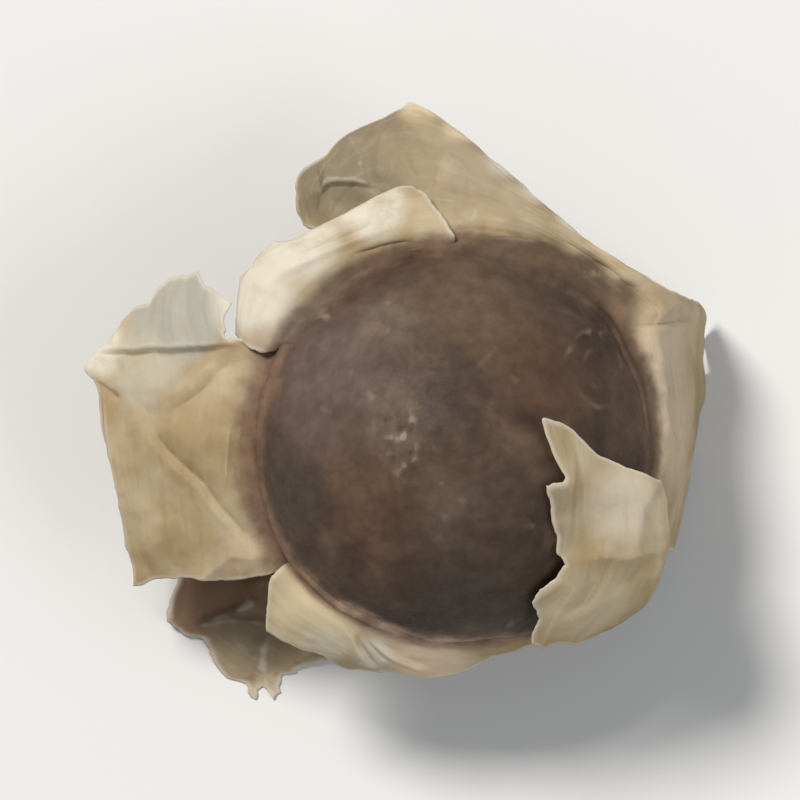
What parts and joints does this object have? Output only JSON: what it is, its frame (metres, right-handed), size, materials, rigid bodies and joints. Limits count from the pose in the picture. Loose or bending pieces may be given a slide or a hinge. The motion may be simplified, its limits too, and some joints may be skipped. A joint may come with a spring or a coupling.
{
  "type": "moringa seed",
  "caption": "Dried moringa seed: a round, slightly three-sided brown hull framed by crumpled papery wings, lying on its folded underside wing.",
  "frame": {"origin": "middle of the seed's footprint, on the surface it lies on", "axes": "+Z up, out of the hull's upper face; +Y from the lower pole of the hull to its upper pole; +X to the right as seen from above with +Y up"},
  "size_m": [0.0178, 0.0169, 0.0103],
  "materials": {
    "hull": "dry matte seed coat, mottled grey-brown",
    "wing": "thin crumpled papery membrane, cream to tan"
  },
  "bodies": {
    "root": {"moringa_seed": "hull"}
  },
  "joints": []
}
